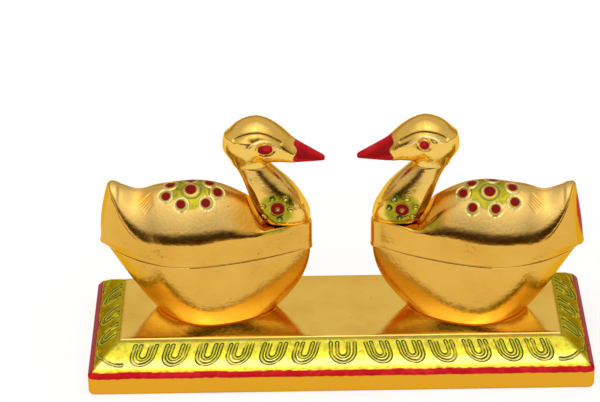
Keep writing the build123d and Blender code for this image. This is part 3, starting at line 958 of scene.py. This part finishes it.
def eyelid_curve(side):
    """The raised fold over the eye."""
    eye_x, eye_z = eye_place[side]
    fold = [(-6.0, 1.0), (-2.2, 3.0), (1.4, 2.6), (5.2, -0.3)]
    return curve_through([(eye_x + along, eye_z + rise) for along, rise in fold])


def head_cuts(x, y, z, side):
    """Depth of the carved lines on both cheeks."""
    flank = smooth(np.abs(y), 0.8, 2.0)
    brow = distance_to(x, z, curve_through(brow_line))
    depth = 0.27 * np.exp(-((brow / 0.5) ** 2))
    eye_x, eye_z = eye_place[side]
    a, b = eye_size[side]
    lid_gap = distance_to(x, z, eyelid_curve(side))
    depth = depth - 0.33 * np.exp(-((lid_gap / 0.42) ** 2))
    eye = np.hypot((x - eye_x) / (a + 0.5), (z - eye_z) / (b + 0.5))
    depth = depth + 0.35 * np.exp(-(((eye - 1) / 0.16) ** 2))
    almond = np.hypot((x - eye_x) / 4.4, (z - eye_z) / 2.5)
    depth = depth + 0.14 * smooth(1 - almond, 0, 0.4)
    gape = jaw_level + 0.34 * (head_top(x) - jaw_level)
    start = beak_line[side]
    mouth = np.exp(-(((z - gape) / 0.3) ** 2)) * smooth(x, start - 0.5, start + 1.5)
    step = smooth(x, start + 0.3, start - 0.3) * smooth(x, 9.0, 12.0)
    return (depth + 0.3 * mouth) * flank - 0.12 * step


print("eyes at", eye_place)

# %% Heads
HEAD_RING = 220


def head_planes():
    """Origin and direction, in side view, of each plane from the joint round the jaw to the tip."""
    corner_x, corner_z = 7.4, 0.7
    planes = [((corner_x, z), (-1.0, 0.0)) for z in (0.0, 0.15, 0.4)]
    for angle in np.radians(np.linspace(180, 90, 84)):
        planes.append(((corner_x, corner_z), (math.cos(angle), math.sin(angle))))
    beak_end = 24.38
    forward = corner_x + (beak_end - corner_x) * (1 - (1 - np.linspace(0, 1, 90)[1:]) ** 1.25)
    planes += [((x, corner_z), (0.0, 1.0)) for x in forward]
    return planes


def head_rings(side):
    """Rings of a head: in each plane, the closed line where the field is zero."""
    rings = []
    rho = np.linspace(-3, 24, 541)
    angle = np.linspace(0, 2 * math.pi, HEAD_RING, endpoint=False)
    for (ox, oz), (dx, dz) in head_planes():
        line = head_field(ox + rho * dx, 0 * rho, oz + rho * dz, side)
        inside = rho[line < 0]
        if len(inside) == 0:
            inside = rho[[int(np.argmin(line))]]
        centre = (inside[0] + inside[-1]) / 2
        low, high = np.zeros(HEAD_RING), np.full(HEAD_RING, 16.0)
        for _ in range(34):
            t = (low + high) / 2
            out, aside = centre + t * np.cos(angle), t * np.sin(angle)
            solid = head_field(ox + out * dx, aside, oz + out * dz, side) < 0
            low, high = np.where(solid, t, low), np.where(solid, high, t)
        out, aside = centre + low * np.cos(angle), low * np.sin(angle)
        rings.append(np.stack([ox + out * dx, aside, oz + out * dz], -1))
    return np.array(rings)


for side in ("left", "right"):
    rings = head_rings(side)
    x, y, z = rings[..., 0], rings[..., 1], rings[..., 2]
    flank = smooth(np.abs(y), 0.8, 2.0)
    eye_x, eye_z = eye_place[side]
    a, b = eye_size[side]
    eye = np.hypot((x - eye_x) / a, (z - eye_z) / b)
    scallop = 0.7 * np.cos((z - 6.5) * 1.15) * smooth(np.abs(y), 0.5, 3)
    scallop = beak_line[side] + scallop + 0.1 * ripple(rings, 3.0, 61)
    brow = distance_to(x, z, curve_through(brow_line))
    beak = smooth(x - scallop, -0.12, 0.12)
    # Painted shade on the beak: its upper face and lower edge darker, its top ridge kept light as painted
    # highlight, and a dark line along the gape.
    above_gape = z - (jaw_level + 0.4 * (head_top(x) - jaw_level))
    ridge = smooth(z - head_top(x), -1.7, -0.5)
    shade = 0.8 * smooth(above_gape, -0.1, 0.25) * (1 - 0.7 * ridge)
    shade = shade + 0.4 * np.exp(-((above_gape / 0.22) ** 2)) + 0.5 * smooth(-above_gape, 0.9, 1.7)
    # Painted highlight: a spot in the eye kept brighter red.
    spark_x, spark_z = (x - eye_x - 0.3 * a) / (0.62 * a), (z - eye_z - 0.25 * b) / (0.7 * b)
    spark = smooth(1 - np.hypot(spark_x, spark_z), 0, 0.3)
    pupil = smooth(1.05 - eye, -0.05, 0.12) * flank
    lid_gap = distance_to(x, z, eyelid_curve(side))
    # The cream line along the eyelid is painted highlight; the ink along the brow is painted shade, and
    # the ink at the foot is the dark joint line.
    paint = {
        "red": np.maximum(pupil, beak),
        "wine_and_shade": 0.75 * pupil * (1 - spark) + beak * np.minimum(shade, 0.85),
        "cream_and_highlight": np.exp(-((lid_gap / 0.35) ** 2)) * 0.7 * flank,
        "amber_and_reflection": 0.15 * smooth(z, 5, 11) * (1 - smooth(x, 10, 13)),
        "ink_and_shade": 0.28 * np.exp(-((brow / 0.3) ** 2)) * flank + 0.3 * smooth(0.45 - z, 0, 0.3),
        "pale": 0.25 * smooth(z, 11, 16),
    }
    rings = rings + [-neck_lean, 0, head_level]
    head = skin(f"{side}_head_gilded", to_row(rings, side), duck_gold, paint)
    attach(head, "stand")
    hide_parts(f"{side}_head")

# %% [markdown]
# ## Pegs and screws
# The peg in each neck and the screws under the plinth hardly show, so the frame's own solids stay.
# They still need a finish: turned light wood with lengthwise grain, and zinc-plated steel with fine
# rings from the lathe.

# %% Finishes for the hidden parts
def peg_wood():
    """Pale wood with grain along the peg."""
    material, tree, place = new_finish("peg_wood")
    shader = tree.nodes["Principled BSDF"]
    stretch = add(tree, "ShaderNodeMapping", Vector=place, Scale=(900.0, 900.0, 60.0))
    grain = add(tree, "ShaderNodeTexNoise", Vector=stretch.outputs[0], Scale=1.0, Detail=5.0)
    tone = blend(tree, grain.outputs["Fac"], (0.36, 0.2, 0.09, 1), (0.66, 0.45, 0.25, 1))
    tree.links.new(tone, shader.inputs["Base Color"])
    bump = add(tree, "ShaderNodeBump", Strength=0.3, Distance=0.0002, Height=grain.outputs["Fac"])
    tree.links.new(bump.outputs["Normal"], shader.inputs["Normal"])
    shader.inputs["Roughness"].default_value = 0.62
    return material


def plated_steel():
    """Plated steel with turning marks."""
    material, tree, place = new_finish("plated_steel")
    shader = tree.nodes["Principled BSDF"]
    stretch = add(tree, "ShaderNodeMapping", Vector=place, Scale=(60.0, 60.0, 2600.0))
    marks = add(tree, "ShaderNodeTexNoise", Vector=stretch.outputs[0], Scale=1.0, Detail=3.0)
    tone = blend(tree, marks.outputs["Fac"], (0.42, 0.42, 0.40, 1), (0.66, 0.65, 0.60, 1))
    tree.links.new(tone, shader.inputs["Base Color"])
    tree.links.new(between(tree, marks.outputs["Fac"], -0.6, 2.2), shader.inputs["Roughness"])
    shader.inputs["Metallic"].default_value = 1.0
    return material


wood_finish, steel_finish = peg_wood(), plated_steel()
hidden = {"pivot_dowel": wood_finish, "head_dowel": wood_finish, "bowl_screws": steel_finish}
for side in ("left", "right"):
    for name, finish in hidden.items():
        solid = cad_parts[f"{side}_{name}"].data
        solid.materials.clear()
        solid.materials.append(finish)
print("finished:", wood_finish.name, steel_finish.name)

# %% [markdown]
# ## Floor, light and camera
# Polished gold shows the room more than itself. The floor is plain white and keeps the shadow. A
# soft glow hangs overhead in front, and the walls of the room are dim near the floor.

# %% Floor
def floor_finish():
    """Plain white paper, as bright to a mirror as to the eye."""
    material, tree, place = new_finish("studio_floor")
    white = blend(tree, noise(tree, place, 30.0), (0.93, 0.93, 0.93, 1), (0.96, 0.96, 0.96, 1))
    paper = add(tree, "ShaderNodeBsdfDiffuse", Color=white)
    shine = add(tree, "ShaderNodeEmission", Color=(1, 1, 1, 1), Strength=1.0)
    path = add(tree, "ShaderNodeLightPath").outputs
    seen = maths(tree, "MAXIMUM", path["Is Camera Ray"], path["Is Glossy Ray"])
    seen = maths(tree, "MAXIMUM", seen, path["Is Transmission Ray"])
    share = maths(tree, "MULTIPLY", seen, 0.72)
    show(tree, share, paper, shine)
    return material


def stage_sheet(name, corners, material):
    """A flat sheet of the studio, which isn't part of the object."""
    mesh = bpy.data.meshes.new(name)
    mesh.from_pydata(corners, [], [(0, 1, 2, 3)])
    mesh.materials.append(material)
    sheet = bpy.data.objects.new(name, mesh)
    bpy.context.scene.collection.objects.link(sheet)
    return sheet


floor_half = 6.0
floor_corners = [(floor_half * x, floor_half * y, 0) for x, y in ((-1, -1), (1, -1), (1, 1), (-1, 1))]
floor = stage_sheet("studio_floor", floor_corners, floor_finish())
print("floor:", floor.name)

# %% [markdown]
# A black card low in front is the trick for polished metal: it draws the dark line along each
# crease and under each belly. Only reflections see it, so it neither hides the object nor dims it.
# Its ends fade out, so that the line fades too.

# %% Black card
def card_finish():
    """Black paper that fades out at both ends."""
    material, tree, place = new_finish("black_card")
    split = add(tree, "ShaderNodeSeparateXYZ", Vector=place).outputs
    across = between(tree, maths(tree, "ABSOLUTE", split["X"]), 0.34, 0.25)
    upward = between(tree, split["Z"], 0.17, 0.10)
    fibres = noise(tree, place, 40.0)
    tone = blend(tree, fibres, (0.012, 0.008, 0.005, 1), (0.04, 0.022, 0.011, 1))
    tone = blend(tree, between(tree, split["Z"], 0.075, 0.02), tone, (0.24, 0.15, 0.085, 1))
    paper = add(tree, "ShaderNodeBsdfDiffuse", Color=tone)
    clear = add(tree, "ShaderNodeBsdfTransparent")
    share = maths(tree, "MULTIPLY", across, upward)
    show(tree, share, clear, paper)
    return material


card_place, card_half, card_height = -0.30, 0.34, 0.19
card_corners = [(-card_half, card_place, 0.001), (card_half, card_place, 0.001)]
card_corners += [(card_half, card_place, card_height), (-card_half, card_place, card_height)]
card = stage_sheet("black_card", card_corners, card_finish())
card.visible_camera = card.visible_diffuse = card.visible_shadow = False
print("card:", card.name)

# %% World
world = bpy.data.worlds.new("studio")
bpy.context.scene.world = world
world.use_nodes = True
tree = world.node_tree
ray = add(tree, "ShaderNodeTexCoord").outputs["Generated"]
axes = add(tree, "ShaderNodeSeparateXYZ", Vector=ray).outputs
upward, backward = maths(tree, "MULTIPLY", axes["Z"], 0.914), maths(tree, "MULTIPLY", axes["Y"], 0.407)
overhead = maths(tree, "SUBTRACT", upward, backward)
studio = blend(tree, between(tree, axes["Z"], 0.10, 0.46), (0.42, 0.32, 0.26, 1), (0.74, 0.71, 0.70, 1))
studio = blend(tree, between(tree, overhead, 0.64, 0.95), studio, (1.40, 1.37, 1.33, 1))
studio = blend(tree, between(tree, overhead, 0.93, 0.99), studio, (2.1, 2.02, 1.9, 1))
background = tree.nodes["Background"]
tree.links.new(studio, background.inputs["Color"])
background.inputs["Strength"].default_value = 1.0
print("world:", world.name)

# %% Lamp
lamp_data = bpy.data.lights.new("soft_box", "AREA")
lamp_data.shape = "DISK"
lamp_data.size = 0.9
lamp_data.energy = 4.0
lamp = bpy.data.objects.new("soft_box", lamp_data)
lamp.matrix_world = Matrix.Translation((-0.25, -0.35, 1.3)) @ Matrix.Rotation(math.radians(15), 4, "X")
lamp.visible_glossy = False
bpy.context.scene.collection.objects.link(lamp)
bpy.context.scene.view_settings.view_transform = "Standard"
print("lamp:", lamp.name)

# %% Camera
camera_data = bpy.data.cameras.new("photo_camera")
camera_data.lens = 149.88
camera_data.sensor_width = 36.0
camera_data.clip_start = 0.05
pitch, yaw, roll = math.radians(29.971), math.radians(-0.032), math.radians(-0.901)
forward = np.array([math.sin(yaw) * math.cos(pitch), math.cos(yaw) * math.cos(pitch), -math.sin(pitch)])
level_right = np.array([math.cos(yaw), -math.sin(yaw), 0.0])
level_up = np.cross(level_right, forward)
right = math.cos(roll) * level_right + math.sin(roll) * level_up
up = -math.sin(roll) * level_right + math.cos(roll) * level_up
turned = np.eye(4)
turned[:3, 0], turned[:3, 1], turned[:3, 2] = right, up, -forward
turned[:3, 3] = (-0.01312, -0.75895, 0.49715)
camera = bpy.data.objects.new("photo_camera", camera_data)
camera.matrix_world = Matrix(turned.tolist())
bpy.context.scene.collection.objects.link(camera)
bpy.context.scene.camera = camera
print("camera at", [round(float(c), 3) for c in turned[:3, 3]])

# %% Finish
bpy.context.view_layer.update()
